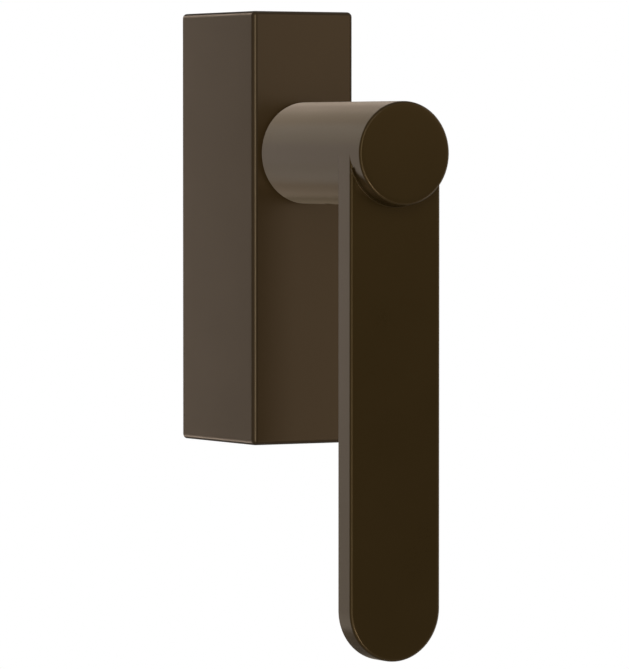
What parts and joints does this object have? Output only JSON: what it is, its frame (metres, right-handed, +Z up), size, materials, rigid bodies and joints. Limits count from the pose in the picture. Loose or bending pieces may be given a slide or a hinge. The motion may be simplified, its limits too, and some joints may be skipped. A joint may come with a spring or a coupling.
{
  "type": "tilt and turn window handle",
  "caption": "Window handle with a deep rectangular box, a round neck that turns, a flat blade with a half-round end and a square spindle behind.",
  "frame": {"origin": "on the turning axis, in the face of the sash that the box sits on", "axes": "+X to the right of a person facing the window, +Y into the window along the turning axis, +Z up; the blade hangs down along -Z at rest"},
  "size_m": [0.025, 0.091, 0.1382],
  "materials": {
    "bronze_box": "satin dark bronze",
    "bronze_handle": "satin dark bronze",
    "cast_metal": "tumbled casting",
    "zinc_steel": "bright zinc plate",
    "black_steel": "black oxide",
    "spring_steel": "polished steel",
    "bush_bronze": "sintered bronze",
    "black_plastic": "moulded, fine grain"
  },
  "bodies": {
    "housing": {"housing_cover": "bronze_box", "base_plate": "cast_metal", "fixing_screws": "zinc_steel", "cover_screw": "black_steel", "bearing_housing": "cast_metal", "bearing_bush": "bush_bronze", "guide_ring": "black_plastic", "detent_carrier": "cast_metal", "thrust_washer": "black_plastic", "block_screws": "zinc_steel", "upper_detent_spring": "spring_steel", "lower_detent_spring": "spring_steel"},
    "handle": {"neck": "bronze_handle", "lever_blade": "bronze_handle", "end_cap": "bronze_handle", "clamp_screw": "zinc_steel", "dowel_pins": "zinc_steel", "spindle": "zinc_steel", "spindle_screw": "black_steel", "index_wheel": "cast_metal", "spring_washer": "black_steel", "retaining_clip": "black_steel"},
    "upper_plunger": {"upper_detent_plunger": "spring_steel"},
    "lower_plunger": {"lower_detent_plunger": "spring_steel"}
  },
  "joints": [
    {"name": "handle_turn", "type": "hinge", "parent": "housing", "child": "handle", "pos_m": [0, 0, 0], "axis": [0, 1, 0], "range_deg": [0, 180]},
    {"name": "upper_detent_click", "type": "slide", "parent": "housing", "child": "upper_plunger", "axis": [0, 1, 0], "range_m": [0, 0.0009], "stiffness_N_per_m": 1500, "deforming": ["upper_detent_spring"]},
    {"name": "lower_detent_click", "type": "slide", "parent": "housing", "child": "lower_plunger", "axis": [0, 1, 0], "range_m": [0, 0.0009], "stiffness_N_per_m": 1500, "deforming": ["lower_detent_spring"]}
  ]
}
